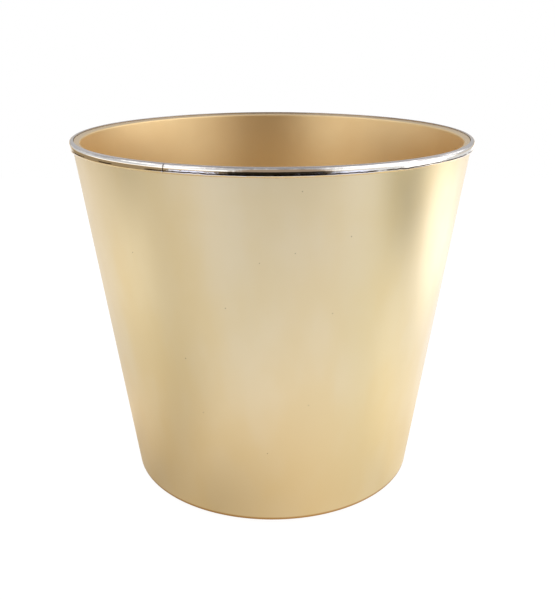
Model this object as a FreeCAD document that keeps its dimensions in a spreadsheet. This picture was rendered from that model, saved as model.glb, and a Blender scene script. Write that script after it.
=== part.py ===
import FreeCAD, Part
import math
import os

import Sketcher

# A round metal cachepot: a tapered wall with a turned-in foot, a bright hoop let into the lip, and a
# dropped-in base, sealed at its edge, that stands on four soft pads.
# Heights inside a piece count from the wall's foot edge, and the pads reach foot_gap below it.

# Driving dimensions in millimetres, degrees and counts: name, value, what it is
SIZES = (
    ("wall_height", 130.0, "foot edge to the crest of the hoop"),
    ("foot_radius", 55.1, "outside of the wall's line at the foot"),
    ("mouth_radius", 72.25, "outside of the wall's line, carried up to the crest"),
    ("wall_thick", 2.75, "through the wall, square to it"),
    ("foot_gap", 1.0, "table to the foot edge"),
    ("foot_round", 1.2, "outer corner of the foot"),
    ("ledge_width", 4.5, "how far the foot turns in from the wall's inside"),
    ("ledge_thick", 2.5, "height of the turned-in ledge"),
    ("ledge_round", 0.6, "inside bend between the ledge and the wall"),
    ("ledge_edge_round", 0.5, "inner edges of the ledge"),
    ("lip_drop", 0.3, "crest of the hoop to the wall's own top edge"),
    ("land_drop", 0.65, "fall of the lip's top towards the inside"),
    ("lip_round", 0.9, "inner edge of the lip"),
    ("ring_height", 3.05, "the hoop and its seat, shoulder to crest"),
    ("ring_proud", 1.35, "how far the hoop's face stands out from the wall at the shoulder"),
    ("ring_top_round", 1.45, "upper outer edge of the hoop"),
    ("ring_foot_round", 0.6, "lower outer edge of the hoop"),
    ("ring_inner_round", 0.22, "upper inner edge of the hoop"),
    ("seat_depth", 0.45, "how far the hoop's seat cuts into the wall at the shoulder"),
    ("ring_clearance", 0.05, "hoop to the seat's upright face"),
    ("ring_joint_gap", 0.3, "open butt joint of the bent hoop"),
    ("ring_joint_angle", -113.0, "where the joint lies, counted from the X axis"),
    ("plate_thick", 2.0, "sheet of the base plate"),
    ("plate_clearance", 0.2, "plate's edge to the wall's inside"),
    ("plate_bevel", 0.8, "lower edge of the plate, clear of the ledge's bend"),
    ("panel_rise", 1.2, "how far the plate's middle panel stands up"),
    ("panel_slope_width", 2.4, "pressed slope round the panel"),
    ("panel_margin", 2.6, "foot of the slope to the pads"),
    ("panel_round", 1.0, "bends at the slope"),
    ("seal_leg", 3.0, "bead of sealant along the plate and up the wall"),
    ("seal_lip", 0.35, "blunt edges of the bead"),
    ("seal_hollow", 0.5, "how deep the bead's face is drawn in"),
    ("seal_clearance", 0.05, "bead to the wall's inside"),
    ("pad_count", 4.0, "soft pads under the plate"),
    ("pad_radius", 5.0, "outside of a pad"),
    ("pad_margin", 2.4, "a pad's side to the ledge"),
    ("pad_first_angle", 45.0, "where the first pad lies"),
    ("pad_round", 0.7, "lower edge of a pad"),
    ("overrun", 2.0, "how far a cutting outline runs past what it cuts"),
)


class Size:
    """A length with its value and the expression that binds it to the sheet."""

    def __init__(self, value, text):
        self.value = value
        self.text = text

    def __add__(self, other):
        return Size(self.value + other.value, f"({self.text} + {other.text})")

    def __sub__(self, other):
        return Size(self.value - other.value, f"({self.text} - {other.text})")

    def __mul__(self, other):
        return Size(self.value * other.value, f"({self.text} * {other.text})")

    def __truediv__(self, other):
        return Size(self.value / other.value, f"({self.text} / {other.text})")

    def root(self):
        return Size(math.sqrt(self.value), f"sqrt({self.text})")


ZERO = Size(0.0, "0")
ONE = Size(1.0, "1")
TWO = Size(2.0, "2")
FULL_TURN = Size(360.0, "360")
HALF_TURN = Size(180.0, "180")
DEGREES_PER_RADIAN = Size(180.0 / math.pi, "(180 / pi)")


class Sizes:
    """The sheet's cells by name."""

    def __init__(self, sheet):
        for name, value, _ in SIZES:
            setattr(self, name, Size(value, f"{sheet.Name}.{name}"))


def make_sheet(doc):
    """Write the driving dimensions into the document's spreadsheet."""
    sheet = doc.addObject("Spreadsheet::Sheet", "sizes")
    for row, (name, value, meaning) in enumerate(SIZES, 1):
        sheet.set(f"A{row}", name)
        sheet.set(f"B{row}", str(value))
        sheet.set(f"C{row}", meaning)
        sheet.setAlias(f"B{row}", name)
    doc.recompute()
    return sheet


# Lines of the wall that other pieces share

def wall_taper(sizes):
    return (sizes.mouth_radius - sizes.foot_radius) / sizes.wall_height


def outside_at(sizes, height):
    """Radius of the wall's outside at a height over the foot edge."""
    return sizes.foot_radius + wall_taper(sizes) * height


def inside_at(sizes, height):
    """Radius of the wall's inside at a height over the foot edge."""
    across = sizes.wall_thick * (ONE + wall_taper(sizes) * wall_taper(sizes)).root()
    return outside_at(sizes, height) - across


def shoulder_height(sizes):
    """Height of the shoulder that the hoop sits on."""
    return sizes.wall_height - sizes.ring_height


def seat_radius(sizes):
    """Radius of the upright face behind the hoop."""
    return outside_at(sizes, shoulder_height(sizes)) - sizes.seat_depth


def ledge_radius(sizes):
    """Radius of the hole that the turned-in ledge leaves."""
    return inside_at(sizes, sizes.ledge_thick) - sizes.ledge_width


def pad_circle_radius(sizes):
    """Radius of the circle that the pads' middles lie on."""
    return ledge_radius(sizes) - sizes.pad_margin - sizes.pad_radius


def plate_top(sizes):
    return sizes.ledge_thick + sizes.plate_thick


# Sketches and features

def plane_of(body, role):
    return [feature for feature in body.Origin.OriginFeatures if feature.Role == role][0]


def add_body(doc, name):
    """Add a body that stands foot_gap above the table."""
    body = doc.addObject("PartDesign::Body", name)
    body.Label = name
    body.setExpression("Placement.Base.z", "sizes.foot_gap")
    return body


def add_sketch(body, name, role):
    """Add a sketch on one of the body's own origin planes."""
    sketch = body.newObject("Sketcher::SketchObject", name)
    sketch.AttachmentSupport = [(plane_of(body, role), "")]
    sketch.MapMode = "FlatFace"
    return sketch


def constrain(sketch, name, size, *parts):
    """Add a dimension with the size's value and bind it to the sheet."""
    index = sketch.addConstraint(Sketcher.Constraint(*parts, size.value))
    sketch.renameConstraint(index, name)
    sketch.setExpression(f"Constraints.{name}", size.text)


def pin(sketch, name, edge, end, across, up):
    """Hold one end of an edge at its distance from the axis and its height."""
    if across is ZERO:
        sketch.addConstraint(Sketcher.Constraint("PointOnObject", edge, end, -2))
    else:
        constrain(sketch, f"{name}_across", across, "DistanceX", -1, 1, edge, end)
    if up is ZERO:
        sketch.addConstraint(Sketcher.Constraint("PointOnObject", edge, end, -1))
    else:
        constrain(sketch, f"{name}_up", up, "DistanceY", -1, 1, edge, end)


def point(corner):
    return FreeCAD.Vector(corner[0].value, corner[1].value, 0)


def bowed_edge(corner, following, bow):
    """Arc between two corners that stands off their chord by bow, to the right of the way drawn."""
    start = point(corner)
    finish = point(following)
    chord = finish - start
    right = FreeCAD.Vector(chord.y, -chord.x, 0).normalize()
    return Part.Arc(start, (start + finish) * 0.5 + right * bow.value, finish)


def bow_radius(corner, following, bow):
    """Radius of the arc with this bow over the chord between two corners."""
    across = following[0] - corner[0]
    up = following[1] - corner[1]
    height = bow if bow.value > 0 else ZERO - bow
    return ((across * across + up * up) / (TWO * TWO) + height * height) / (TWO * height)


def draw(sketch, corners):
    """Draw a closed outline. A corner is its distance from the axis, its height and its name,
    and a fourth entry bows the edge that leaves it."""
    ends = []
    for corner, following in zip(corners, corners[1:] + corners[:1]):
        bow = corner[3] if len(corner) > 3 else None
        if bow:
            edge = sketch.addGeometry(bowed_edge(corner, following, bow))
            constrain(sketch, f"{corner[2]}_bow", bow_radius(corner, following, bow), "Radius", edge)
        else:
            edge = sketch.addGeometry(Part.LineSegment(point(corner), point(following)))
        # an arc is stored anticlockwise, so its first end may be the following corner
        near = 1 if sketch.getPoint(edge, 1).isEqual(point(corner), 1e-6) else 2
        ends.append((edge, near, 3 - near))
    for corner, (edge, near, _), (before, _, far) in zip(corners, ends, ends[-1:] + ends[:-1]):
        pin(sketch, corner[2], edge, near, corner[0], corner[1])
        sketch.addConstraint(Sketcher.Constraint("Coincident", before, far, edge, near))


def revolve(body, kind, name, corners):
    """Turn an outline about the upright axis, as a solid or as a cut."""
    sketch = add_sketch(body, f"{name}_outline", "XZ_Plane")
    draw(sketch, corners)
    feature = body.newObject(kind, name)
    feature.Profile = sketch
    feature.ReferenceAxis = (sketch, ["V_Axis"])
    feature.Angle = FULL_TURN.value
    body.Document.recompute()
    return feature


def circle_at(shape, radius, height):
    """Name of the round edge nearest to a radius and a height."""
    misses = []
    for number, edge in enumerate(shape.Edges, 1):
        if isinstance(edge.Curve, Part.Circle):
            miss = abs(edge.Curve.Radius - radius.value) + abs(edge.Curve.Center.z - height.value)
            misses.append((miss, f"Edge{number}"))
    return min(misses)[1]


def dress(body, kind, prop, name, size, places):
    """Fillet or chamfer the round edges at the places, each a radius and a height."""
    base = body.Tip
    feature = body.newObject(kind, name)
    edges = [circle_at(base.Shape, radius, height) for radius, height in places]
    feature.Base = (base, edges)
    feature.setExpression(prop, size.text)
    body.Document.recompute()
    return feature


def fillet(body, name, size, *places):
    return dress(body, "PartDesign::Fillet", "Radius", name, size, places)


def chamfer(body, name, size, *places):
    return dress(body, "PartDesign::Chamfer", "Size", name, size, places)


# The pieces

def make_side_wall(doc, sizes):
    """Tapered wall: a foot turned in to carry the base, a lip that falls inwards, a seat for the hoop."""
    body = add_body(doc, "side_wall")
    ledge_edge = ledge_radius(sizes)
    lip_top = sizes.wall_height - sizes.lip_drop
    land_height = lip_top - sizes.land_drop
    revolve(body, "PartDesign::Revolution", "wall", [
        (ledge_edge, ZERO, "ledge_foot"),
        (sizes.foot_radius, ZERO, "foot"),
        (outside_at(sizes, lip_top), lip_top, "lip_top"),
        (inside_at(sizes, land_height), land_height, "lip"),
        (inside_at(sizes, sizes.ledge_thick), sizes.ledge_thick, "bend"),
        (ledge_edge, sizes.ledge_thick, "ledge_top"),
    ])
    fillet(body, "foot_corner", sizes.foot_round, (sizes.foot_radius, ZERO))
    fillet(body, "lip_edge", sizes.lip_round, (inside_at(sizes, land_height), land_height))
    fillet(body, "ledge_bend", sizes.ledge_round,
           (inside_at(sizes, sizes.ledge_thick), sizes.ledge_thick))
    fillet(body, "ledge_edges", sizes.ledge_edge_round,
           (ledge_edge, ZERO), (ledge_edge, sizes.ledge_thick))
    whole = body.Tip.Shape.Volume
    outer = sizes.mouth_radius + sizes.overrun
    above = sizes.wall_height + sizes.overrun
    revolve(body, "PartDesign::Groove", "ring_seat", [
        (seat_radius(sizes), shoulder_height(sizes), "seat_foot"),
        (outer, shoulder_height(sizes), "shoulder"),
        (outer, above, "outer_top"),
        (seat_radius(sizes), above, "seat_top"),
    ])
    if not body.Tip.Shape.Volume < whole:
        raise RuntimeError("the seat for the hoop cuts nothing")
    return body


def make_rim_ring(doc, sizes):
    """Hoop bent from one length of rounded strip, its ends butted at the front left."""
    body = add_body(doc, "rim_ring")
    low = shoulder_height(sizes)
    inner = seat_radius(sizes) + sizes.ring_clearance
    face = outside_at(sizes, low) + sizes.ring_proud
    ring = revolve(body, "PartDesign::Revolution", "hoop", [
        (inner, low, "inner_foot"),
        (face, low, "outer_foot"),
        (face, sizes.wall_height, "outer_top"),
        (inner, sizes.wall_height, "inner_top"),
    ])
    ring.Midplane = True
    open_angle = sizes.ring_joint_gap / face * DEGREES_PER_RADIAN
    ring.setExpression("Angle", (FULL_TURN - open_angle).text)
    doc.recompute()
    fillet(body, "ring_top_edge", sizes.ring_top_round, (face, sizes.wall_height))
    fillet(body, "ring_foot_edge", sizes.ring_foot_round, (face, low))
    fillet(body, "ring_inner_edge", sizes.ring_inner_round, (inner, sizes.wall_height))
    # the joint opens opposite the sketch, so the hoop is turned on by half a turn
    body.Placement = FreeCAD.Placement(FreeCAD.Vector(), FreeCAD.Rotation(FreeCAD.Vector(0, 0, 1), 1))
    body.setExpression("Placement.Rotation.Angle", (sizes.ring_joint_angle + HALF_TURN).text)
    return body


def make_base_plate(doc, sizes):
    """Pressed disc that rests on the ledge, its middle raised."""
    body = add_body(doc, "base_plate")
    low = sizes.ledge_thick
    high = plate_top(sizes)
    rim = inside_at(sizes, sizes.ledge_thick) - sizes.plate_clearance
    slope_foot = pad_circle_radius(sizes) - sizes.pad_radius - sizes.panel_margin
    panel_edge = slope_foot - sizes.panel_slope_width
    revolve(body, "PartDesign::Revolution", "disc", [
        (ZERO, low + sizes.panel_rise, "middle_under"),
        (panel_edge, low + sizes.panel_rise, "panel_under"),
        (slope_foot, low, "slope_under"),
        (rim, low, "rim_under"),
        (rim, high, "rim_top"),
        (slope_foot, high, "slope_top"),
        (panel_edge, high + sizes.panel_rise, "panel_top"),
        (ZERO, high + sizes.panel_rise, "middle_top"),
    ])
    fillet(body, "panel_bends", sizes.panel_round,
           (panel_edge, low + sizes.panel_rise), (slope_foot, low),
           (slope_foot, high), (panel_edge, high + sizes.panel_rise))
    chamfer(body, "rim_bevel", sizes.plate_bevel, (rim, low))
    return body


def make_base_seal(doc, sizes):
    """Bead of sealant in the corner between the plate and the wall."""
    body = add_body(doc, "base_seal")
    low = plate_top(sizes)
    high = low + sizes.seal_leg
    corner = inside_at(sizes, low) - sizes.seal_clearance
    upper = inside_at(sizes, high) - sizes.seal_clearance
    toe = corner - sizes.seal_leg
    revolve(body, "PartDesign::Revolution", "bead", [
        (toe, low, "toe"),
        (corner, low, "corner"),
        (upper, high, "wall_end"),
        (upper - sizes.seal_lip, high, "wall_lip", ZERO - sizes.seal_hollow),
        (toe, low + sizes.seal_lip, "toe_lip"),
    ])
    return body


def make_foot_pads(doc, sizes):
    """Soft pads under the plate that reach past the foot edge to the table."""
    pads = []
    count = int(sizes.pad_count.value)
    for number in range(count):
        body = doc.addObject("PartDesign::Body", f"foot_pad_{number + 1}")
        body.Label = body.Name
        sketch = add_sketch(body, f"pad_outline_{number + 1}", "XY_Plane")
        circle = Part.Circle(FreeCAD.Vector(), FreeCAD.Vector(0, 0, 1), sizes.pad_radius.value)
        edge = sketch.addGeometry(circle)
        sketch.addConstraint(Sketcher.Constraint("Coincident", edge, 3, -1, 1))
        constrain(sketch, "pad_radius", sizes.pad_radius, "Radius", edge)
        pad = body.newObject("PartDesign::Pad", f"pad_{number + 1}")
        pad.Profile = sketch
        pad.setExpression("Length", (sizes.foot_gap + sizes.ledge_thick).text)
        doc.recompute()
        fillet(body, f"pad_edge_{number + 1}", sizes.pad_round, (sizes.pad_radius, ZERO))
        angle = f"({sizes.pad_first_angle.text} + 360 * {number} / {sizes.pad_count.text})"
        out = pad_circle_radius(sizes).text
        body.setExpression("Placement.Base.x", f"{out} * cos({angle})")
        body.setExpression("Placement.Base.y", f"{out} * sin({angle})")
        pads.append(body)
    return pads


def check(doc, bodies):
    """Stop if any object failed or any piece has no sound solid."""
    for item in doc.Objects:
        if "Invalid" in item.State or "Error" in item.State:
            raise RuntimeError(f"{item.Label} failed: {item.State}")
        if item.TypeId == "Sketcher::SketchObject" and not item.FullyConstrained:
            raise RuntimeError(f"{item.Label} isn't fully held")
    for body in bodies:
        if body.Shape.isNull() or not body.Shape.isValid() or len(body.Shape.Solids) != 1:
            raise RuntimeError(f"{body.Label} has no sound solid")


def main():
    doc = FreeCAD.newDocument("cachepot")
    sizes = Sizes(make_sheet(doc))
    bodies = [
        make_side_wall(doc, sizes),
        make_rim_ring(doc, sizes),
        make_base_plate(doc, sizes),
        make_base_seal(doc, sizes),
    ]
    bodies += make_foot_pads(doc, sizes)
    doc.recompute()
    check(doc, bodies)
    os.makedirs("parts", exist_ok=True)
    for body in bodies:
        body.Shape.exportStep(f"parts/{body.Label}.step")


main()
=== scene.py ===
import math

import bmesh
import bpy
from bpy.props import FloatProperty, FloatVectorProperty, IntProperty, PointerProperty
from mathutils import Matrix, Vector


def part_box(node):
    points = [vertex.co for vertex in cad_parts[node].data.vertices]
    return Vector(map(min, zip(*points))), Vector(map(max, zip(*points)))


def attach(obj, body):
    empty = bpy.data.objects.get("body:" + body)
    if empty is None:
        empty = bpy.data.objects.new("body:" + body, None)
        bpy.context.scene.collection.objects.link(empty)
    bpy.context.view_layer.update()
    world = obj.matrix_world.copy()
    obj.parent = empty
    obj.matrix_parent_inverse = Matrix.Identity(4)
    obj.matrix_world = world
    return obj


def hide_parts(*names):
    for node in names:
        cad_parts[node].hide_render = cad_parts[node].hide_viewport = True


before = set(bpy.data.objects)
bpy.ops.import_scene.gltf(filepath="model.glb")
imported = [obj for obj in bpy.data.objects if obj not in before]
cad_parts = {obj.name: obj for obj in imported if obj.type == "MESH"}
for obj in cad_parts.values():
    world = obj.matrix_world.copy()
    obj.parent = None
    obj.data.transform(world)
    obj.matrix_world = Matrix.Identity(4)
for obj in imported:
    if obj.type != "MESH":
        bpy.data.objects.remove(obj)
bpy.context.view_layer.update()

bl_info = {
    "name": "Cachepot",
    "version": (1, 0, 0),
    "blender": (4, 5, 0),
    "location": "View3D > Sidebar > Cachepot",
    "description": "Builds a satin gold cachepot with a bright hoop round its lip, and its studio",
    "category": "Add Mesh",
}

wall_low, wall_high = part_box("side_wall")
hoop_low, hoop_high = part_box("rim_ring")
seal_low, seal_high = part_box("base_seal")

FULL_TURN = 2 * math.pi
# A height above everything, for pieces with one finish
NOWHERE = 9.0
# Points nearer to each other than this are one
WELD = 1e-6


def length(name, default, description):
    return FloatProperty(name=name, description=description, default=default, min=0.0,
                         precision=5, unit="LENGTH")


def share(name, default, description):
    return FloatProperty(name=name, description=description, default=default, min=0.0, max=1.0,
                         subtype="FACTOR")


def colour(name, default, description):
    return FloatVectorProperty(name=name, description=description, default=default, min=0.0, max=1.0,
                               size=3, subtype="COLOR")


def heading(name, default, description):
    return FloatProperty(name=name, description=description, default=default, subtype="ANGLE")


def place_of(name, default, description):
    return FloatVectorProperty(name=name, description=description, default=default, size=3,
                               precision=5, subtype="TRANSLATION")


def divisions(name, default, description):
    return IntProperty(name=name, description=description, default=default, min=3)


def brightness(name, default, description):
    return FloatProperty(name=name, description=description, default=default, min=0.0)


class CachepotWall(bpy.types.PropertyGroup):
    """Sizes and colours of the side wall."""
    foot_radius: length("Foot radius", 0.0551, "Outside of the wall's line at the foot")
    mouth_radius: length("Mouth radius", 0.07225, "Outside of the wall's line, carried up to the crest")
    thickness: length("Thickness", 0.00275, "Through the wall, square to it")
    foot_round: length("Foot round", 0.0012, "Outer corner of the foot")
    ledge_width: length("Ledge width", 0.0045, "How far the foot turns in from the wall's inside")
    ledge_thick: length("Ledge thickness", 0.0025, "Height of the turned-in ledge")
    ledge_round: length("Ledge bend", 0.0006, "Inside bend between the ledge and the wall")
    ledge_edge_round: length("Ledge edge", 0.0005, "Inner edges of the ledge")
    lip_drop: length("Lip drop", 0.0003, "Crest of the hoop to the wall's own top edge")
    land_drop: length("Land drop", 0.00065, "Fall of the lip's top towards the inside")
    lip_round: length("Lip round", 0.0009, "Inner edge of the lip")
    seat_depth: length("Seat depth", 0.00045, "How far the hoop's seat cuts into the wall")
    edge_break: length("Edge break", 0.00006, "Tiny round on the cut edges of the seat")
    steps: divisions("Steps", 384, "Divisions round the wall")
    wave_depth: length("Wave depth", 0.00004, "How far the sheet wanders from a true cone")
    wave_length: length("Wave length", 0.045, "Size of those waves")
    gold: colour("Gold", (0.83, 0.705, 0.44), "Lacquered outside")
    gold_warm: colour("Warm gold", (0.83, 0.685, 0.39), "Outside where the lacquer is thicker")
    # Painted shade: the foot's rounded corner is painted dark orange-brown for the shadowed paper that it
    # reflects
    painted_foot_shade: colour("Painted foot shade", (0.52, 0.30, 0.10), "Outside round the foot's corner")
    land: colour("Land", (0.64, 0.51, 0.34), "Top of the lip inside the hoop")
    inside_gold: colour("Inside gold", (0.80, 0.615, 0.348), "Matte inside")
    speck: colour("Speck", (0.16, 0.11, 0.05), "Dust caught under the lacquer")
    speck_share: share("Speck share", 0.45, "How strongly the dust shows")
    roughness: share("Roughness", 0.36, "Satin of the outside")
    inside_roughness: share("Inside roughness", 0.42, "Matte of the inside")


class CachepotHoop(bpy.types.PropertyGroup):
    """Sizes and colours of the bright hoop."""
    proud: length("Proud", 0.00135, "How far the hoop's face stands out from the wall at the shoulder")
    clearance: length("Clearance", 0.00005, "Hoop to the seat's upright face")
    top_round: length("Top round", 0.00145, "Upper outer edge")
    foot_round: length("Foot round", 0.0006, "Lower outer edge")
    inner_round: length("Inner round", 0.00022, "Upper inner edge")
    joint_gap: length("Joint gap", 0.00012, "Open butt joint of the bent hoop")
    joint_round: length("Joint round", 0.00012, "How far the ends of the hoop are eased")
    end_draw: share("End draw", 0.6, "How far the eased ends draw in, as a share of that")
    joint_angle: heading("Joint angle", math.radians(-115.9), "Where the joint lies, counted from the X axis")
    steps: divisions("Steps", 900, "Divisions round the hoop")
    wave_depth: length("Wave depth", 0.00008, "How far the polished face wanders")
    wave_length: length("Wave length", 0.007, "Size of those waves")
    metal: colour("Metal", (0.90, 0.89, 0.87), "Bright polished metal")
    # Painted reflection: the crest is painted darker grey for the dim ceiling that it reflects
    crest: colour("Crest", (0.46, 0.44, 0.45), "Painted reflection on the top of the hoop")
    painted_crest_depth: length("Crest depth", 0.00075, "How far down that painted reflection reaches")
    # Painted reflection: the hoop's lower edge is painted gold for the gold wall that it reflects
    painted_reflection_gold: colour("Painted reflection gold", (0.74, 0.57, 0.30), "Painted reflection of the gold wall on the hoop's lower edge")
    painted_reflection_gold_height: length("Gilt height", 0.00075, "How far up that painted reflection reaches")
    # Painted shade: a dark line painted along the hoop above that gold band
    edge: colour("Painted dark line", (0.06, 0.03, 0.01), "Painted shade line above that band")
    painted_dark_line_height: length("Painted dark line height", 0.0009, "Where the dark line lies above the hoop's foot")
    edge_width: length("Painted dark line width", 0.0005, "Breadth of the dark line, with its soft sides")
    wander: length("Wander", 0.0005, "How far these bands stray up and down")
    roughness: share("Roughness", 0.06, "Polish of the hoop")


class CachepotBase(bpy.types.PropertyGroup):
    """Colours of the base plate, the sealant and the pads, and the sealant's sizes."""
    gold: colour("Gold", (0.80, 0.63, 0.38), "Base plate")
    roughness: share("Roughness", 0.42, "Satin of the base plate")
    seal_leg: length("Seal leg", 0.003, "Sealant along the plate and up the wall")
    seal_lip: length("Seal lip", 0.00035, "Blunt edges of the sealant")
    seal_hollow: length("Seal hollow", 0.0005, "How deep its face is drawn in")
    seal_clearance: length("Seal clearance", 0.00005, "Sealant to the wall's inside")
    seal_steps: divisions("Seal steps", 300, "Divisions round the sealant")
    seal_wave: length("Seal wave", 0.00018, "How uneven the drawn face is")
    seal_wave_length: length("Seal wave length", 0.011, "Size of those waves")
    sealant: colour("Sealant", (0.62, 0.57, 0.48), "Neutral-cure sealant")
    pad: colour("Pad", (0.055, 0.053, 0.05), "Soft pad")


class CachepotStage(bpy.types.PropertyGroup):
    """The paper, the room, the lamp and the camera."""
    camera_place: place_of("Camera", (0.0, -0.29390, 0.169787), "Where the camera stands")
    camera_dip: heading("Dip", 0.340958, "How far the camera looks down")
    camera_turn: heading("Turn", 0.00667, "How far the camera looks to the right")
    focal_length: FloatProperty(name="Focal length", description="Lens for a 36 mm sensor, in millimetres",
                                default=47.0675, min=1.0)
    paper_left: length("Paper left", 0.60, "How far the paper reaches to the left of the pot")
    paper_right: length("Paper right", 0.60, "How far the paper reaches to the right of the pot")
    paper_front: length("Paper front", 0.66, "How far the paper reaches in front of the pot")
    paper_back: length("Paper back", 0.60, "How far the paper reaches behind the pot")
    paper: colour("Paper", (0.86, 0.855, 0.84), "White paper")
    shadow: colour("Shadow", (0.26, 0.12, 0.035), "Paper in the gap under the foot")
    shadow_reach: length("Shadow reach", 0.0013, "How near the foot the paper darkens")
    tent: brightness("Tent", 0.66, "Light tent round the pot, where 1 is white")
    right_box: brightness("Right box", 1.5, "Lit box at the right")
    left_box: brightness("Left box", 1.15, "Lit box at the left")
    high_boxes: brightness("High boxes", 1.75, "Lit boxes high at both sides")
    lamp: brightness("Lamp", 1.2, "Soft lamp behind the pot, at the right")
    lamp_size: length("Lamp size", 0.30, "Side of the square lamp")
    lamp_place: place_of("Lamp place", (0.75, 0.60, 0.55), "Where the lamp hangs")
    lamp_aim: place_of("Lamp aim", (0.0, 0.0, 0.05), "What the lamp faces")


class CachepotSettings(bpy.types.PropertyGroup):
    """Everything that a user would change."""
    wall: PointerProperty(type=CachepotWall)
    hoop: PointerProperty(type=CachepotHoop)
    base: PointerProperty(type=CachepotBase)
    stage: PointerProperty(type=CachepotStage)


# Nodes

class Socket:
    """An output of a node, for sums. A sum of sockets and numbers adds its Math nodes."""

    def __init__(self, graph, socket):
        self.graph = graph
        self.socket = socket

    def out(self, name):
        """Another output of the same node."""
        return Socket(self.graph, self.socket.node.outputs[name])

    def maths(self, operation, *values):
        """Math node on the values given."""
        sockets = dict(enumerate(values))
        return self.graph.node("ShaderNodeMath", {"operation": operation}, sockets)

    def __add__(self, other):
        return self.maths("ADD", self, other)

    def __radd__(self, other):
        return self.maths("ADD", other, self)

    def __sub__(self, other):
        return self.maths("SUBTRACT", self, other)

    def __rsub__(self, other):
        return self.maths("SUBTRACT", other, self)

    def __mul__(self, other):
        return self.maths("MULTIPLY", self, other)

    def __rmul__(self, other):
        return self.maths("MULTIPLY", other, self)

    def __truediv__(self, other):
        return self.maths("DIVIDE", self, other)

    def __rtruediv__(self, other):
        return self.maths("DIVIDE", other, self)

    def __mod__(self, other):
        return self.maths("MODULO", self, other)

    def __lt__(self, other):
        return self.maths("LESS_THAN", self, other)

    def __gt__(self, other):
        return self.maths("GREATER_THAN", self, other)


class Graph:
    """Adds nodes to a tree of shaders or of geometry."""

    def __init__(self, tree):
        self.tree = tree
        self.tree.nodes.clear()

    def node(self, kind, settings=None, sockets=None):
        """Add a node: its settings first, then the values or links of its sockets by name or number.
        What comes back is its first live output, or the node if it has none."""
        made = self.tree.nodes.new(kind)
        for name, value in (settings or {}).items():
            if name == "stops":
                self.set_stops(made.color_ramp, value)
            else:
                setattr(made, name, value)
        for key, value in (sockets or {}).items():
            self.feed(self.input_of(made, key), value)
        live = [output for output in made.outputs if output.enabled]
        return Socket(self, live[0]) if live else made

    def input_of(self, made, key):
        if isinstance(key, int):
            return made.inputs[key]
        named = [socket for socket in made.inputs if socket.enabled and socket.name == key]
        return named[0]

    def feed(self, socket, value):
        if isinstance(value, Socket):
            self.tree.links.new(value.socket, socket)
        elif socket.type == "RGBA" and len(value) == 3:
            socket.default_value = (*value, 1.0)
        else:
            socket.default_value = value

    def set_stops(self, ramp, stops):
        for place, value in stops[2:]:
            ramp.elements.new(place)
        for element, (place, value) in zip(ramp.elements, stops):
            element.position = place
            element.color = (*value, 1.0)

    def mix(self, factor, first, second):
        """Colour that goes from the first to the second with the factor."""
        return self.node("ShaderNodeMix", {"data_type": "RGBA", "clamp_factor": True},
                         {"Factor": factor, "A": first, "B": second})

    def vector(self, operation, first, second):
        """Vector Math node on two vectors."""
        return self.node("ShaderNodeVectorMath", {"operation": operation}, {0: first, 1: second})

    def scaled(self, vector, scale):
        return self.node("ShaderNodeVectorMath", {"operation": "SCALE"}, {"Vector": vector, "Scale": scale})

    def from_axis(self, place):
        """Distance of the place from the upright axis, and its parts X, Y and Z."""
        parts = self.node("ShaderNodeSeparateXYZ", None, {0: place})
        squares = parts.out("X") * parts.out("X") + parts.out("Y") * parts.out("Y")
        return squares.maths("SQRT", squares), parts

    def ease(self, value, low, high, from_value=0.0, to_value=1.0):
        """Smooth step from from_value at low to to_value at high, where low may be the larger."""
        return self.node("ShaderNodeMapRange", {"interpolation_type": "SMOOTHSTEP"},
                         {"Value": value, "From Min": low, "From Max": high,
                          "To Min": from_value, "To Max": to_value})

    def patch(self, *edges):
        """1 inside all the soft edges, each (value, outside, inside), and 0 outside."""
        whole, *others = [self.ease(*edge) for edge in edges]
        for other in others:
            whole = whole * other
        return whole

    def blend(self, factor, first, second):
        """Number that goes from the first to the second with the factor."""
        return first + (second - first) * factor

    def noise(self, place, size, detail=2.0, roughness=0.5):
        """Noise with features of about the given size, in metres."""
        return self.node("ShaderNodeTexNoise", {"noise_dimensions": "3D"},
                         {"Vector": place, "Scale": 1.0 / size, "Detail": detail, "Roughness": roughness})

    def bump(self, height, distance, normal=None):
        """Bump whose full height is the distance in metres."""
        sockets = {"Height": height, "Distance": distance, "Strength": 1.0}
        if normal:
            sockets["Normal"] = normal
        return self.node("ShaderNodeBump", None, sockets)


def new_material(name):
    """Empty material, its graph and the place of each point in the frame."""
    material = bpy.data.materials.new(name)
    material.use_nodes = True
    graph = Graph(material.node_tree)
    place = graph.node("ShaderNodeTexCoord").out("Object")
    return material, graph, place


def finish_material(graph, sockets):
    """End the graph with one principled shader that has these inputs."""
    shader = graph.node("ShaderNodeBsdfPrincipled", None, sockets)
    graph.node("ShaderNodeOutputMaterial", None, {"Surface": shader})


# Sections: each is a loop of (radius, height) points, run so that its faces point outwards once turned

# Turn between the points of a bend, and how near to a bend the straight runs beside it have a point
BEND_STEP = math.radians(7.5)
BEND_GUARD = 0.00012
LONGEST_STEP = 0.004
HOOP_LONGEST_STEP = 0.0004
SEAL_FACE_STEPS = 14


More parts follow.
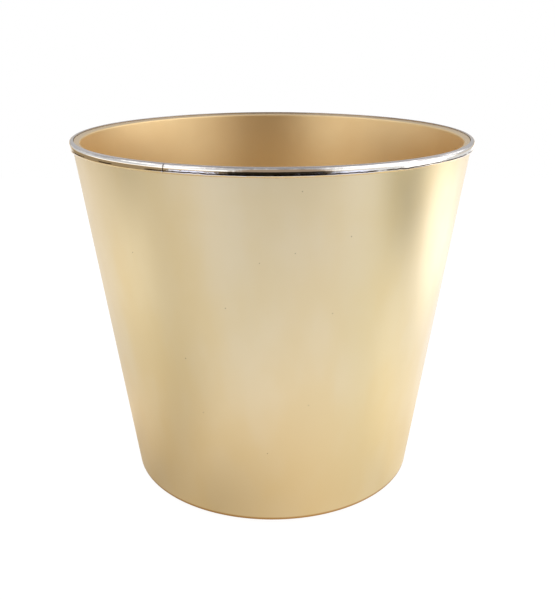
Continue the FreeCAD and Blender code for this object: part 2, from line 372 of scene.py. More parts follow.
def rounded(corners, longest=LONGEST_STEP):
    """Loop through the corners, each (radius, height, round): arcs at the rounds, points along the runs."""
    places = [Vector(corner[:2]) for corner in corners]
    arcs = []
    for index, corner in enumerate(corners):
        here = places[index]
        before = (places[index - 1] - here).normalized()
        after = (places[(index + 1) % len(places)] - here).normalized()
        size = corner[2]
        if size == 0.0:
            arcs.append([here])
            continue
        half = before.angle(after) / 2
        start = here + before * (size / math.tan(half))
        end = here + after * (size / math.tan(half))
        middle = here + (before + after).normalized() * (size / math.sin(half))
        sweep = math.pi - 2 * half
        count = max(2, math.ceil(sweep / BEND_STEP))
        first = start - middle
        side = 1.0 if first.x * (end - middle).y - first.y * (end - middle).x > 0 else -1.0
        turns = [side * sweep * step / count for step in range(count + 1)]
        arcs.append([middle + Matrix.Rotation(turned, 2) @ first for turned in turns])
    points = []
    for index, arc in enumerate(arcs):
        points += arc
        start = arc[-1]
        end = arcs[(index + 1) % len(arcs)][0]
        run = (end - start).length
        near = min(BEND_GUARD, run / 4)
        inner = max(1, math.ceil((run - 2 * near) / longest))
        stops = [near + (run - 2 * near) * step / inner for step in range(inner + 1)]
        points += [start + (end - start) * (stop / run) for stop in stops]
    return points


def wall_lines(wall):
    """The wall's outside and inside radius as functions of the height in the frame, and its taper."""
    taper = (wall.mouth_radius - wall.foot_radius) / (hoop_high.z - wall_low.z)
    across = wall.thickness * math.sqrt(1 + taper * taper)

    def outside(height):
        return wall.foot_radius + taper * (height - wall_low.z)

    def inside(height):
        return outside(height) - across

    return outside, inside, taper


def wall_section(wall):
    """Foot with its ledge, outside, seat of the hoop, lip and inside."""
    outside, inside, _ = wall_lines(wall)
    foot = wall_low.z
    ledge_top = foot + wall.ledge_thick
    ledge_edge = inside(ledge_top) - wall.ledge_width
    shoulder = hoop_low.z
    seat = outside(shoulder) - wall.seat_depth
    lip_top = hoop_high.z - wall.lip_drop
    land = lip_top - wall.land_drop
    fall = wall.land_drop / (outside(lip_top) - inside(land))
    return rounded([
        (ledge_edge, foot, wall.ledge_edge_round),
        (outside(foot), foot, wall.foot_round),
        (outside(shoulder), shoulder, wall.edge_break),
        (seat, shoulder, 0.0),
        (seat, lip_top - fall * (outside(lip_top) - seat), wall.edge_break),
        (inside(land), land, wall.lip_round),
        (inside(ledge_top), ledge_top, wall.ledge_round),
        (ledge_edge, ledge_top, wall.ledge_edge_round),
    ])


def hoop_section(wall, hoop):
    """Flat foot and back on the seat, rounded face outside."""
    outside, _, _ = wall_lines(wall)
    inner = outside(hoop_low.z) - wall.seat_depth + hoop.clearance
    face = min(outside(hoop_low.z) + hoop.proud, hoop_high.x)
    return rounded([
        (inner, hoop_low.z, 0.0),
        (face, hoop_low.z, hoop.foot_round),
        (face, hoop_high.z, hoop.top_round),
        (inner, hoop_high.z, hoop.inner_round),
    ], longest=HOOP_LONGEST_STEP)


def seal_section(wall, base):
    """Corner bead: along the plate, up the wall and back along its hollow face."""
    _, inside, _ = wall_lines(wall)
    low = seal_low.z
    high = seal_high.z
    corner = inside(low) - base.seal_clearance
    upper = inside(high) - base.seal_clearance
    toe = corner - base.seal_leg
    start = Vector((upper - base.seal_lip, high))
    end = Vector((toe, low + base.seal_lip))
    chord = end - start
    off = Vector((chord.y, -chord.x)).normalized() * -base.seal_hollow
    face = []
    for step in range(SEAL_FACE_STEPS + 1):
        along = step / SEAL_FACE_STEPS
        face.append(start + chord * along + off * (1 - (2 * along - 1) ** 2))
    return [Vector((toe, low)), Vector((corner, low)), Vector((upper, high)), *face]


def turning_tree():
    """Tree that turns a section about the upright axis and lays shallow waves in its faces."""
    tree = bpy.data.node_groups.new("Turned section", "GeometryNodeTree")
    for name, kind in (
        ("Section", "Geometry"), ("Steps", "Int"), ("Start", "Float"), ("Sweep", "Float"),
        ("Wave depth", "Float"), ("Wave length", "Float"), ("Inside radius", "Float"),
        ("Inside taper", "Float"), ("Inside from", "Float"), ("Outside material", "Material"),
        ("Inside material", "Material"),
    ):
        tree.interface.new_socket(name, in_out="INPUT", socket_type="NodeSocket" + kind)
    tree.interface.new_socket("Turned", in_out="OUTPUT", socket_type="NodeSocketGeometry")
    graph = Graph(tree)
    given = graph.node("NodeGroupInput")
    steps = given.out("Steps")
    count = graph.node("GeometryNodeAttributeDomainSize", {"component": "MESH"}, {0: given.out("Section")})
    sheet = graph.node("GeometryNodeMeshGrid", None, {"Vertices X": steps + 1, "Vertices Y": count + 1})
    index = graph.node("GeometryNodeInputIndex")
    column = (index / (count + 1)).maths("FLOOR", index / (count + 1))
    row = (index - column * (count + 1)) % count
    place = graph.node("GeometryNodeInputPosition")
    point = graph.node("GeometryNodeSampleIndex", {"data_type": "FLOAT_VECTOR", "domain": "POINT"},
                       {"Geometry": given.out("Section"), "Value": place, "Index": row})
    parts = graph.node("ShaderNodeSeparateXYZ", None, {0: point})
    angle = given.out("Start") + given.out("Sweep") * column / steps
    turned = graph.node("ShaderNodeCombineXYZ", None, {
        "X": parts.out("X") * angle.maths("COSINE", angle),
        "Y": parts.out("X") * angle.maths("SINE", angle),
        "Z": parts.out("Z")})
    shape = graph.node("GeometryNodeSetPosition", None, {"Geometry": sheet, "Position": turned})
    shape = graph.node("GeometryNodeMergeByDistance", None, {"Geometry": shape, "Distance": WELD})
    waves = graph.node("ShaderNodeTexNoise", {"noise_dimensions": "3D"},
                       {"Vector": place, "Scale": 1.0 / given.out("Wave length"), "Detail": 2.0})
    sunk = (waves - 1.0) * given.out("Wave depth")
    normal = graph.node("GeometryNodeInputNormal")
    shape = graph.node("GeometryNodeSetPosition", None,
                       {"Geometry": shape, "Offset": graph.scaled(normal, sunk)})
    shape = graph.node("GeometryNodeSetShadeSmooth", None, {"Geometry": shape})
    whole = graph.node("GeometryNodeRealizeInstances", None, {"Geometry": shape})
    radius, where = graph.from_axis(place)
    height = where.out("Z")
    within = radius < given.out("Inside radius") + given.out("Inside taper") * height
    within = within * (height > given.out("Inside from"))
    shape = graph.node("GeometryNodeSetMaterial", None,
                       {"Geometry": whole, "Material": given.out("Outside material")})
    shape = graph.node("GeometryNodeSetMaterial", None,
                       {"Geometry": shape, "Selection": within, "Material": given.out("Inside material")})
    graph.node("NodeGroupOutput", None, {"Turned": shape})
    return tree


def turn(name, section, sizes):
    """Make a plain mesh of the section turned about the upright axis."""
    loop = bpy.data.meshes.new(name)
    count = len(section)
    loop.from_pydata([(point.x, 0.0, point.y) for point in section],
                     [(step, (step + 1) % count) for step in range(count)], [])
    piece = bpy.data.objects.new(name, loop)
    bpy.context.scene.collection.objects.link(piece)
    modifier = piece.modifiers.new("Turn", "NODES")
    modifier.node_group = bpy.data.node_groups.get("Turned section") or turning_tree()
    for item in modifier.node_group.interface.items_tree:
        if item.name in sizes:
            modifier[item.identifier] = sizes[item.name]
    shown = piece.evaluated_get(bpy.context.evaluated_depsgraph_get())
    mesh = bpy.data.meshes.new_from_object(shown)
    piece.modifiers.clear()
    piece.data = mesh
    mesh.name = name
    return piece


def no_inside(material):
    """Turning sizes of a piece with one material."""
    return {"Inside radius": 0.0, "Inside taper": 0.0, "Inside from": NOWHERE,
            "Outside material": material, "Inside material": material}


# Finishes

# Size and, where it has one, depth of the marks in the finishes, in metres
CLOUD_SIZE = 0.022
MOTTLE_SIZE = 0.006
MOTTLE_DEPTH = 0.000012
GRAIN_SIZE = 0.0004
GRAIN_DEPTH = 0.0000025
INSIDE_CLOUD_SIZE = 0.030
INSIDE_GRAIN_SIZE = 0.0005
INSIDE_GRAIN_DEPTH = 0.000004
DULL_SIZE = 0.009
RIPPLE_SIZE = 0.0022
RIPPLE_DEPTH = 0.000035
HAIRLINE_SIZE = 0.0011
HAIRLINE_DEPTH = 0.0000006
PLATE_CLOUD_SIZE = 0.018
RING_SIZE = 0.0007
RING_DEPTH = 0.00001
DRAG_SIZE = 0.004
DRAG_DEPTH = 0.00012
PINHOLE_SPACING = 0.0022
PAD_GRAIN_SIZE = 0.00035
PAD_GRAIN_DEPTH = 0.00003
PAD_DUST_SIZE = 0.004
FIBRE_SIZE = 0.003

# Scales of the place that draw the marks out: clouds up and down the wall, hairlines round the hoop
CLOUD_DRAW = (1.0, 1.0, 0.45)
HAIRLINE_DRAW = (1.0, 1.0, 14.0)

# Dust nibs that show under the lacquer: turn from the X axis in degrees, height and radius in millimetres
NIBS = (
    (-83.0, 123.7, 0.26), (-69.9, 108.8, 0.30), (-102.8, 85.7, 0.28), (-131.2, 100.0, 0.30),
    (-93.3, 101.4, 0.22), (-84.3, 104.5, 0.24), (-73.4, 83.4, 0.26), (-91.8, 30.8, 0.28),
    (-116.8, 65.3, 0.30), (-112.7, 45.1, 0.24), (-78.9, 49.8, 0.26), (-24.0, 92.0, 0.27),
    (12.0, 41.0, 0.30), (38.0, 112.0, 0.24), (71.0, 66.0, 0.28), (104.0, 98.0, 0.25),
    (139.0, 35.0, 0.30), (166.0, 87.0, 0.26), (-158.0, 58.0, 0.24),
)


def satin_gold(wall):
    """Lacquered satin gold: fine grain, faint cloudiness in tint and sheen, and caught dust."""
    material, graph, place = new_material("Satin gold lacquer")
    drawn = graph.node("ShaderNodeMapping", None, {"Vector": place, "Scale": CLOUD_DRAW})
    clouds = graph.noise(drawn, CLOUD_SIZE, 3.0)
    mottle = graph.noise(place, MOTTLE_SIZE, 3.0)
    grain = graph.noise(place, GRAIN_SIZE, 2.0)
    tint = graph.mix(graph.ease(clouds, 0.35, 0.65), wall.gold, wall.gold_warm)
    dust = dust_nibs(graph, place, wall)
    tint = graph.mix(dust * wall.speck_share, tint, wall.speck)
    radius, parts = graph.from_axis(place)
    # Painted shade round the foot's corner, for the shadowed paper that the corner reflects
    painted_foot_shade = graph.patch(
        (parts.out("Z"), wall_low.z + wall.foot_round * 1.5, wall_low.z + wall.foot_round * 0.8),
        (radius, wall.foot_radius - 2 * wall.foot_round, wall.foot_radius - wall.foot_round))
    tint = graph.mix(painted_foot_shade, tint, wall.painted_foot_shade)
    satin = wall.roughness + (clouds - 0.5) * 0.14 + (mottle - 0.5) * 0.05 + (grain - 0.5) * 0.06
    relief = graph.bump(grain, GRAIN_DEPTH)
    relief = graph.bump(mottle, MOTTLE_DEPTH, relief)
    finish_material(graph, {
        "Base Color": tint, "Metallic": 1.0, "Roughness": satin, "Normal": relief,
        "Coat Weight": 0.12, "Coat Roughness": 0.22, "Coat IOR": 1.45})
    return material


def dust_nibs(graph, place, wall):
    """1 on each nib and 0 elsewhere."""
    outside, _, _ = wall_lines(wall)
    dust = 0.0
    for turned, high, radius in NIBS:
        angle = math.radians(turned)
        height = high / 1000
        centre = (outside(height) * math.cos(angle), outside(height) * math.sin(angle), height)
        away = graph.vector("DISTANCE", place, centre)
        dust = graph.ease(away, radius / 2000, radius / 1000, 1.0, 0.0) + dust
    return dust


def matte_inside(wall):
    """Deeper, more matte gold of the inside, with soft cloudiness."""
    material, graph, place = new_material("Matte copper gold")
    clouds = graph.noise(place, INSIDE_CLOUD_SIZE, 3.0)
    grain = graph.noise(place, INSIDE_GRAIN_SIZE, 2.0)
    warm = [part * kept for part, kept in zip(wall.inside_gold, (0.97, 0.94, 0.90))]
    tint = graph.mix(graph.ease(clouds, 0.3, 0.7), wall.inside_gold, warm)
    _, parts = graph.from_axis(place)
    land = wall_high.z - wall.land_drop
    on_land = graph.ease(parts.out("Z"), land - wall.lip_round / 9, land + wall.lip_round / 3)
    tint = graph.mix(on_land, tint, wall.land)
    satin = wall.inside_roughness + (clouds - 0.5) * 0.06 + (grain - 0.5) * 0.08
    relief = graph.bump(grain, INSIDE_GRAIN_DEPTH)
    finish_material(graph, {"Base Color": tint, "Metallic": 1.0, "Roughness": satin, "Normal": relief})
    return material


def bright_metal(hoop):
    """Polished hoop: bright metal with hairline scratches, a crest painted darker grey as painted reflection,
    a lower edge painted gold as painted reflection of the wall, and a painted shade line above it.
    """
    material, graph, place = new_material("Bright polished hoop")
    dull = graph.noise(place, DULL_SIZE, 3.0)
    along = graph.node("ShaderNodeMapping", None, {"Vector": place, "Scale": HAIRLINE_DRAW})
    hairlines = graph.noise(along, HAIRLINE_SIZE, 3.0)
    ripple = graph.noise(place, RIPPLE_SIZE, 3.0)
    _, parts = graph.from_axis(place)
    height = parts.out("Z") + (dull - 0.5) * hoop.wander + (ripple - 0.5) * hoop.wander
    # Painted reflection: darker grey at the crest, which is also a little rougher
    painted_crest_end = hoop_high.z - hoop.painted_crest_depth
    crest = graph.ease(height, painted_crest_end, painted_crest_end + 0.8 * hoop.wander)
    # Painted reflection of the gold wall along the hoop's lower edge
    painted_reflection_gold_end = hoop_low.z + hoop.painted_reflection_gold_height
    painted_reflection_band = graph.ease(height, painted_reflection_gold_end, painted_reflection_gold_end - 0.6 * hoop.wander)
    # Painted shade: thin dark line above that band
    line = hoop_low.z + hoop.painted_dark_line_height
    outer = 0.5 * hoop.edge_width
    inner = 0.2 * hoop.edge_width
    edge = graph.patch((height, line - outer, line - inner), (height, line + outer, line + inner))
    shine = hoop.roughness + graph.ease(dull, 0.45, 0.75) * 0.05 + (hairlines - 0.5) * 0.03 + crest * 0.10
    tint = graph.mix(graph.ease(dull, 0.4, 0.8), hoop.metal, [part * 0.95 for part in hoop.metal])
    tint = graph.mix(crest, tint, hoop.crest)
    tint = graph.mix(painted_reflection_band, tint, hoop.painted_reflection_gold)
    tint = graph.mix(edge * graph.ease(dull, 0.38, 0.48), tint, hoop.edge)
    relief = graph.bump(ripple, RIPPLE_DEPTH)
    relief = graph.bump(hairlines, HAIRLINE_DEPTH, relief)
    finish_material(graph, {"Base Color": tint, "Metallic": 1.0, "Roughness": shine, "Normal": relief})
    return material


def base_gold(base):
    """Pressed base plate: the same lacquer, thinner, with faint turning rings."""
    material, graph, place = new_material("Base plate gold")
    radius, _ = graph.from_axis(place)
    outwards = graph.node("ShaderNodeCombineXYZ", None, {"X": radius, "Y": 0.0, "Z": 0.0})
    rings = graph.noise(outwards, RING_SIZE, 4.0, 0.6)
    clouds = graph.noise(place, PLATE_CLOUD_SIZE, 3.0)
    tint = graph.mix(clouds, base.gold, [part * 0.88 for part in base.gold])
    satin = base.roughness + (rings - 0.5) * 0.2 + (clouds - 0.5) * 0.1
    relief = graph.bump(rings, RING_DEPTH)
    finish_material(graph, {"Base Color": tint, "Metallic": 1.0, "Roughness": satin, "Normal": relief})
    return material


def cured_sealant(base):
    """Smooth cured sealant with drag marks and a few pinholes."""
    material, graph, place = new_material("Cured sealant")
    drag = graph.noise(place, DRAG_SIZE, 3.0)
    pores = graph.node("ShaderNodeTexVoronoi", {"feature": "F1"},
                       {"Vector": place, "Scale": 1 / PINHOLE_SPACING})
    pinholes = graph.ease(pores.out("Distance"), 0.06, 0.14, 1.0, 0.0)
    tint = graph.mix(drag, base.sealant, [part * 0.85 for part in base.sealant])
    # Painted shade: the pinholes are painted darker for the shade inside them
    tint = graph.mix(pinholes * 0.5, tint, [part * 0.4 for part in base.sealant])
    relief = graph.bump(drag - pinholes * 0.5, DRAG_DEPTH)
    finish_material(graph, {"Base Color": tint, "Roughness": 0.34 + drag * 0.14, "Normal": relief,
                            "Subsurface Weight": 0.15, "Subsurface Radius": (0.0010, 0.0008, 0.0006)})
    return material


def soft_pad(base):
    """Moulded soft pad with a fine matte grain and a little dust."""
    material, graph, place = new_material("Soft pad")
    grain = graph.noise(place, PAD_GRAIN_SIZE, 3.0)
    dust = graph.noise(place, PAD_DUST_SIZE, 4.0, 0.6)
    tint = graph.mix(graph.ease(dust, 0.5, 0.8), base.pad, [part + 0.05 for part in base.pad])
    relief = graph.bump(grain, PAD_GRAIN_DEPTH)
    finish_material(graph, {"Base Color": tint, "Roughness": 0.62 + (grain - 0.5) * 0.2, "Normal": relief,
                            "Specular IOR Level": 0.4})
    return material


def settle(piece, slot, *nodes):
    """Let a finished piece stand for its nodes and ride on the pot."""
    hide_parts(*nodes)
    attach(piece, "root")


class CACHEPOT_OT_wall(bpy.types.Operator):
    """Turn the tapered wall, satin gold outside and matte inside"""
    bl_idname = "cachepot.wall"
    bl_label = "Side wall"

    def execute(self, context):
        wall = context.scene.cachepot.wall
        _, inside, taper = wall_lines(wall)
        margin = wall.thickness - wall.seat_depth
        piece = turn("pot_wall", wall_section(wall), {
            "Steps": wall.steps, "Start": 0.0, "Sweep": FULL_TURN,
            "Wave depth": wall.wave_depth, "Wave length": wall.wave_length,
            "Inside radius": inside(0.0) + margin, "Inside taper": taper,
            "Inside from": wall_low.z + wall.ledge_thick / 2,
            "Outside material": satin_gold(wall), "Inside material": matte_inside(wall)})
        settle(piece, "gold_wall", "side_wall")
        return {"FINISHED"}


class CACHEPOT_OT_hoop(bpy.types.Operator):
    """Bend the bright hoop round the lip, its ends butted"""
    bl_idname = "cachepot.hoop"
    bl_label = "Bright hoop"

    def execute(self, context):
        settings = context.scene.cachepot
        hoop = settings.hoop
        gap = (hoop.joint_gap + 2 * hoop.joint_round) / hoop_high.x
        piece = turn("lip_hoop", hoop_section(settings.wall, hoop), {
            "Steps": hoop.steps, "Start": hoop.joint_angle + gap / 2, "Sweep": FULL_TURN - gap,
            "Wave depth": hoop.wave_depth, "Wave length": hoop.wave_length,
            **no_inside(bright_metal(hoop))})
        shut_ends(piece.data, hoop)
        settle(piece, "bright_rim", "rim_ring")
        return {"FINISHED"}


def shut_ends(mesh, hoop):
    """Ease the two ends of the bent hoop towards each other and close them with flat faces."""
    shape = bmesh.new()
    shape.from_mesh(mesh)
    open_edges = [edge for edge in shape.edges if edge.is_boundary]
    grown = bmesh.ops.extrude_edge_only(shape, edges=open_edges)["geom"]
    corners = [item for item in grown if isinstance(item, bmesh.types.BMVert)]
    tangent = Vector((-math.sin(hoop.joint_angle), math.cos(hoop.joint_angle), 0.0))
    for side in (-1.0, 1.0):
        rim = [corner for corner in corners if corner.co.dot(tangent) * side > 0]
        middle = sum((vertex.co for vertex in rim), Vector()) / len(rim)
        for vertex in rim:
            inwards = (middle - vertex.co).normalized()
            vertex.co += inwards * hoop.joint_round * hoop.end_draw - tangent * side * hoop.joint_round
    rims = [item for item in grown if isinstance(item, bmesh.types.BMEdge)]
    bmesh.ops.holes_fill(shape, edges=rims, sides=0)
    for edge in rims:
        edge.smooth = False
    bmesh.ops.recalc_face_normals(shape, faces=shape.faces)
    shape.to_mesh(mesh)
    shape.free()


class CACHEPOT_OT_base(bpy.types.Operator):
    """Finish the base plate and draw the sealant round it"""
    bl_idname = "cachepot.base"
    bl_label = "Base and sealant"

    def execute(self, context):
        settings = context.scene.cachepot
        base = settings.base
        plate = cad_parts["base_plate"]
        plate.data.materials[0] = base_gold(base)
        piece = turn("seal_bead", seal_section(settings.wall, base), {
            "Steps": base.seal_steps, "Start": 0.0, "Sweep": FULL_TURN,
            "Wave depth": base.seal_wave, "Wave length": base.seal_wave_length,
            **no_inside(cured_sealant(base))})
        settle(piece, "sealant", "base_seal")
        return {"FINISHED"}


class CACHEPOT_OT_pads(bpy.types.Operator):
    """Finish the soft pads under the base"""
    bl_idname = "cachepot.pads"
    bl_label = "Foot pads"

    def execute(self, context):
        material = soft_pad(context.scene.cachepot.base)
        for name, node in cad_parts.items():
            if name.startswith("foot_pad"):
                node.data.materials[0] = material
        return {"FINISHED"}


# Studio

# Soft patches of the paper in reflections: centre (right, away), half width, half depth and change in level
LIGHT_POOLS = (
    ((0.405, -0.092), 0.17, 0.14, -1.70),
    ((0.250, 0.055), 0.11, 0.06, 0.42),
    ((0.37, 0.125), 0.20, 0.14, 0.85),
    ((-0.40, -0.06), 0.13, 0.10, -0.30),
    ((-0.27, -0.02), 0.14, 0.12, 0.36),
    ((-0.095, -0.085), 0.055, 0.055, -0.16),
    ((0.045, -0.16), 0.10, 0.09, 0.06),
    ((-0.075, 0.0), 0.045, 0.045, 0.12),
)

# Tint of the paper in reflections, from the left of the pot (0) through the front and back to the right (1)
PAPER_TINTS = (
    (0.0, (0.93, 0.90, 0.88)), (0.07, (0.94, 0.89, 0.82)), (0.20, (0.92, 0.90, 0.93)),
    (0.36, (0.89, 0.90, 1.0)), (0.75, (0.90, 0.90, 1.0)), (0.90, (0.91, 0.91, 0.91)),
    (0.96, (0.94, 0.91, 0.85)), (1.0, (0.91, 0.91, 0.96)),
)

# Its tint far in front, behind the pot, and close to it, where the pot lends it some gold
FAR_TINT = (0.87, 0.90, 1.10)
BACK_LEFT_TINT = (0.91, 0.87, 0.86)
BACK_RIGHT_TINT = (0.90, 0.90, 1.0)
GOLD_LEFT_TINT = (0.99, 0.845, 0.69)
GOLD_RIGHT_TINT = (0.985, 0.865, 0.70)

# Level of the paper in reflections that counts as 1, and the least that it falls to
WHITE_LEVEL = 0.93
LEAST_LEVEL = 0.04

# Paper that the camera sees: how white it glows, and the little that the room adds to it
SEEN_GLOW = 0.95
SEEN_GREY = (0.12, 0.12, 0.12)

# Tint of the room: the tent, its opening in front, and what lies low
ROOM_WHITE = (1.0, 0.99, 0.98)
ROOM_OPENING = (1.0, 0.74, 0.52)
ROOM_LOW = (1.0, 0.72, 0.40)


def light_rays(graph):
    """Whether the camera or a reflection sees the surface."""
    rays = graph.node("ShaderNodeLightPath")
    return rays.out("Is Camera Ray"), rays.out("Is Glossy Ray")


def paper_material(stage, foot):
    """White paper: plain to diffuse rays, white to the camera, and lit by a formula in reflections."""
    material, graph, place = new_material("White paper")
    fibre = graph.noise(place, FIBRE_SIZE, 4.0, 0.6)
    tint = graph.mix(fibre, stage.paper, [part * 0.985 for part in stage.paper])
    paper = graph.node("ShaderNodeBsdfDiffuse", None, {"Color": tint})
    light = paper_light(graph, place, foot)
    lit = graph.node("ShaderNodeEmission", None, {"Color": light, "Strength": 1.0})
    seen, glossy = light_rays(graph)
    reflected = graph.node("ShaderNodeMixShader", None, {0: glossy, 1: paper, 2: lit})
    near = graph.node("ShaderNodeAmbientOcclusion", {"samples": 16}, {"Distance": stage.shadow_reach})
    open_share = graph.ease(near.out("AO"), 0.15, 0.45)
    white = graph.mix(open_share, stage.shadow, (1.0, 1.0, 1.0))
    glow = graph.node("ShaderNodeEmission", None, {"Color": white, "Strength": SEEN_GLOW})
    dimmed = graph.node("ShaderNodeBsdfDiffuse", None, {"Color": SEEN_GREY})
    bright = graph.node("ShaderNodeAddShader", None, {0: dimmed, 1: glow})
    front = graph.node("ShaderNodeMixShader", None, {0: seen, 1: reflected, 2: bright})
    under = graph.node("ShaderNodeBsdfTransparent")
    behind = graph.node("ShaderNodeNewGeometry").out("Backfacing")
    both = graph.node("ShaderNodeMixShader", None, {0: behind, 1: front, 2: under})
    graph.node("ShaderNodeOutputMaterial", None, {"Surface": both})
    return material


def pool(graph, place, centre, wide, deep):
    """1 at the centre of a soft oval patch of the paper, 0 outside it."""
    shift = graph.vector("SUBTRACT", place, (centre[0], centre[1], 0.0))
    scaled = graph.vector("MULTIPLY", shift, (1 / wide, 1 / deep, 0.0))
    away = graph.node("ShaderNodeVectorMath", {"operation": "LENGTH"}, {0: scaled})
    return graph.ease(away, 0.35, 1.0, 1.0, 0.0)


def paper_light(graph, place, foot):
    """Light that the paper sends into reflections, by direction and distance from the pot."""
    radius, parts = graph.from_axis(place)
    right = parts.out("X") / radius
    away = parts.out("Y") / radius
    back = graph.ease(away, -0.05, 0.45)
    far = graph.patch((radius, 0.22, 0.36), (away, -0.45, -0.75))
    level = paper_front(graph, right)
    level = graph.blend(back, level, paper_back(graph, radius, right))
    level = level + 0.10 * graph.ease(radius, 0.26, 0.10) * (1.0 - back)
    # Painted shadow of the pot round its foot, deeper at the left
    contact = graph.ease(radius, foot, foot + 0.065, 1.0, 0.0)
    level = level * (1.0 - contact * graph.ease(right, 0.40, -0.45, 0.15, 0.40) * (1.0 - back))
    level = level + 0.15 * far
    for centre, wide, deep, change in LIGHT_POOLS:
        level = level + pool(graph, place, centre, wide, deep) * change
    front_end = graph.patch((radius, 0.44, 0.60), (away - 0.05 * right, -0.80, -0.93))
    level = level * (1.0 - 0.9 * front_end)
    level = level.maths("MAXIMUM", level, LEAST_LEVEL)
    tint = graph.node("ShaderNodeValToRGB", {"stops": PAPER_TINTS}, {0: right * 0.5 + 0.5})
    tint = graph.mix(far, tint, FAR_TINT)
    back_tint = graph.mix(graph.ease(right, -0.3, 0.3), BACK_LEFT_TINT, BACK_RIGHT_TINT)
    tint = graph.mix(back, tint, back_tint)
    # Painted gold light bounced from the pot onto the paper near its foot
    gold_tint = graph.mix(graph.ease(right, 0.2, 0.7), GOLD_LEFT_TINT, GOLD_RIGHT_TINT)
    gold = graph.ease(radius, foot, foot + 0.11, 1.0, 0.0) * graph.ease(right, 1.0, -0.3, 0.6, 1.0)
    tint = graph.mix(gold, tint, gold_tint)
    return graph.scaled(tint, level / WHITE_LEVEL)


def paper_front(graph, right):
    """Level of the paper in front of the pot: brighter at the right, darker at the left."""
    level = 0.90 + 0.03 * graph.ease(right, 0.1, 0.6) + 0.14 * graph.ease(right, 0.78, 0.99)
    return level - 0.16 * graph.ease(right, -0.55, -0.95)


def paper_back(graph, radius, right):
    """Level of the paper behind the pot, which rises with the distance at both sides."""
    at_right = 0.16 * graph.patch((right, 0.4, 0.9), (radius, 0.15, 0.32))
    at_left = graph.ease(right, -0.2, -0.5) * graph.ease(radius, 0.12, 0.24, -0.10, 0.05)
    return 1.08 + 0.12 * right + (at_right + at_left)


def make_paper(stage, foot):
    """Flat sheet of paper that the pot stands on."""
    mesh = bpy.data.meshes.new("paper_sweep")
    corners = [(-stage.paper_left, -stage.paper_front, 0.0), (stage.paper_right, -stage.paper_front, 0.0),
               (stage.paper_right, stage.paper_back, 0.0), (-stage.paper_left, stage.paper_back, 0.0)]
    mesh.from_pydata(corners, [], [(0, 1, 2, 3)])
    mesh.materials.append(paper_material(stage, foot))
    sweep = bpy.data.objects.new("paper_sweep", mesh)
    bpy.context.scene.collection.objects.link(sweep)


def make_world(stage):
    """The room by direction: a light tent with lit boxes, open and dark in front where the camera stands."""
    world = bpy.data.worlds.new("Studio")
    bpy.context.scene.world = world
    world.use_nodes = True
    graph = Graph(world.node_tree)
    way = graph.node("ShaderNodeTexCoord").out("Generated")
    reach, parts = graph.from_axis(way)
    up = parts.out("Z")
    right = parts.out("X") / reach
    away = parts.out("Y") / reach
    below = graph.ease(up, 0.0, -0.04)
    at_right = graph.ease(right, 0.3, 0.6)
    at_back = graph.ease(away, 0.76, 0.90)
    opening = graph.patch((away - 0.1 * right, -0.86, -0.96), (up, 0.98, 0.85))
    right_box = graph.patch(
        (right - 0.09 * graph.ease(up, 0.04, -0.03), 0.84, 0.93), (away, 0.85, 0.60),
        (up, -0.24, -0.16), (up, 0.62, 0.42))
    left_box = graph.patch((right, -0.40, -0.62), (away, 0.60, 0.30), (up, -0.03, 0.0), (up, 0.22, 0.12))
    high = graph.patch((right * right, 0.40, 0.75), (up, 0.54, 0.66), (up, 0.98, 0.92))
    cheeks = graph.patch((away, -0.96, -0.90), (away, -0.2, -0.5), (up, 0.02, 0.15), (up, 0.55, 0.42))
    level = stage.tent + 0.40 * graph.patch((away, 0.5, 0.9), (up, 0.1, 0.6)) + 0.65 * cheeks
    level = graph.blend(opening, level, graph.ease(up, 0.02, 0.25, 0.08, 0.36))
    ground = (0.34 + 0.46 * at_right) * graph.ease(away - 0.05 * right, -0.93, -0.80, 0.05, 1.0)
    level = graph.blend(below, level, ground + 0.80 * at_back)
    level = graph.blend(right_box, level, stage.right_box + 0.6 * graph.ease(up, 0.18, 0.06))
    level = graph.blend(left_box, level, stage.left_box + 0.3 * graph.ease(up, 0.14, 0.05))
    slant = graph.ease(right, 0.0, 0.4, -0.25, 0.25) * graph.ease(up, 0.90, 0.80)
    level = graph.blend(high, level, stage.high_boxes + slant)
    level = level - 0.45 * graph.patch((away, 0.5, 0.9), (up, 0.45, 0.65))
    bare = below * at_right.maths("MAXIMUM", at_right, at_back)
    low = graph.ease(up, 0.10, -0.02) * (1.0 - right_box) * (1.0 - bare)
    tint = graph.mix(opening, ROOM_WHITE, ROOM_OPENING)
    tint = graph.mix(low, tint, ROOM_LOW)
    seen, _ = light_rays(graph)
    shown = graph.mix(seen, graph.scaled(tint, level), (1.0, 1.0, 1.0))
    backdrop = graph.node("ShaderNodeBackground", None, {"Color": shown, "Strength": 1.0})
    graph.node("ShaderNodeOutputWorld", None, {"Surface": backdrop})


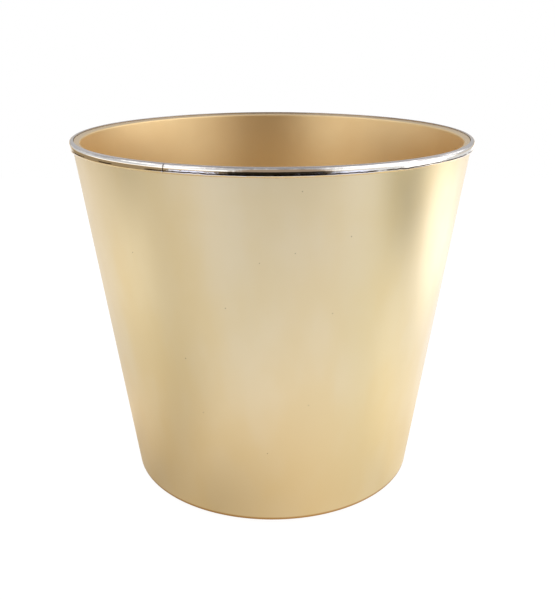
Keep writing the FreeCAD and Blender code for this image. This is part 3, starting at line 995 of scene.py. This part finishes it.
def make_lamp(stage):
    """Square area lamp whose strength is the brightness of its face."""
    lamp = bpy.data.lights.new("Back right softbox", "AREA")
    lamp.shape = "RECTANGLE"
    lamp.size = stage.lamp_size
    lamp.size_y = stage.lamp_size
    lamp.energy = stage.lamp * stage.lamp_size ** 2 * math.pi
    box = bpy.data.objects.new("Back right softbox", lamp)
    bpy.context.scene.collection.objects.link(box)
    aim = Vector(stage.lamp_aim) - Vector(stage.lamp_place)
    box.location = stage.lamp_place
    box.rotation_euler = aim.to_track_quat("-Z", "Y").to_euler()
    box.visible_camera = False


def make_camera(stage):
    """Camera of the photograph."""
    lens = bpy.data.cameras.new("Photograph")
    lens.sensor_width = 36.0
    lens.lens = stage.focal_length
    lens.clip_start = 0.01
    lens.clip_end = 20.0
    camera = bpy.data.objects.new("Photograph", lens)
    bpy.context.scene.collection.objects.link(camera)
    camera.location = stage.camera_place
    camera.rotation_euler = (math.pi / 2 - stage.camera_dip, 0.0, -stage.camera_turn)
    bpy.context.scene.camera = camera


class CACHEPOT_OT_stage(bpy.types.Operator):
    """Set up the white paper, the room, the soft lamp and the camera"""
    bl_idname = "cachepot.stage"
    bl_label = "Studio"

    def execute(self, context):
        stage = context.scene.cachepot.stage
        make_paper(stage, context.scene.cachepot.wall.foot_radius)
        make_world(stage)
        make_lamp(stage)
        make_camera(stage)
        context.scene.view_settings.view_transform = "Standard"
        return {"FINISHED"}


BUILD_ORDER = (CACHEPOT_OT_wall, CACHEPOT_OT_hoop, CACHEPOT_OT_base, CACHEPOT_OT_pads, CACHEPOT_OT_stage)


class CACHEPOT_PT_build(bpy.types.Panel):
    """Lists the pot's pieces and its studio"""
    bl_idname = "CACHEPOT_PT_build"
    bl_label = "Cachepot"
    bl_space_type = "VIEW_3D"
    bl_region_type = "UI"
    bl_category = "Cachepot"

    def draw(self, context):
        for operator in BUILD_ORDER:
            self.layout.operator(operator.bl_idname)


CLASSES = (CachepotWall, CachepotHoop, CachepotBase, CachepotStage, CachepotSettings, *BUILD_ORDER,
           CACHEPOT_PT_build)


def register():
    for item in CLASSES:
        bpy.utils.register_class(item)
    bpy.types.Scene.cachepot = PointerProperty(type=CachepotSettings)


def unregister():
    del bpy.types.Scene.cachepot
    for item in reversed(CLASSES):
        bpy.utils.unregister_class(item)


def main():
    register()
    for operator in BUILD_ORDER:
        group, name = operator.bl_idname.split(".")
        getattr(getattr(bpy.ops, group), name)()


if __name__ == "__main__":
    main()
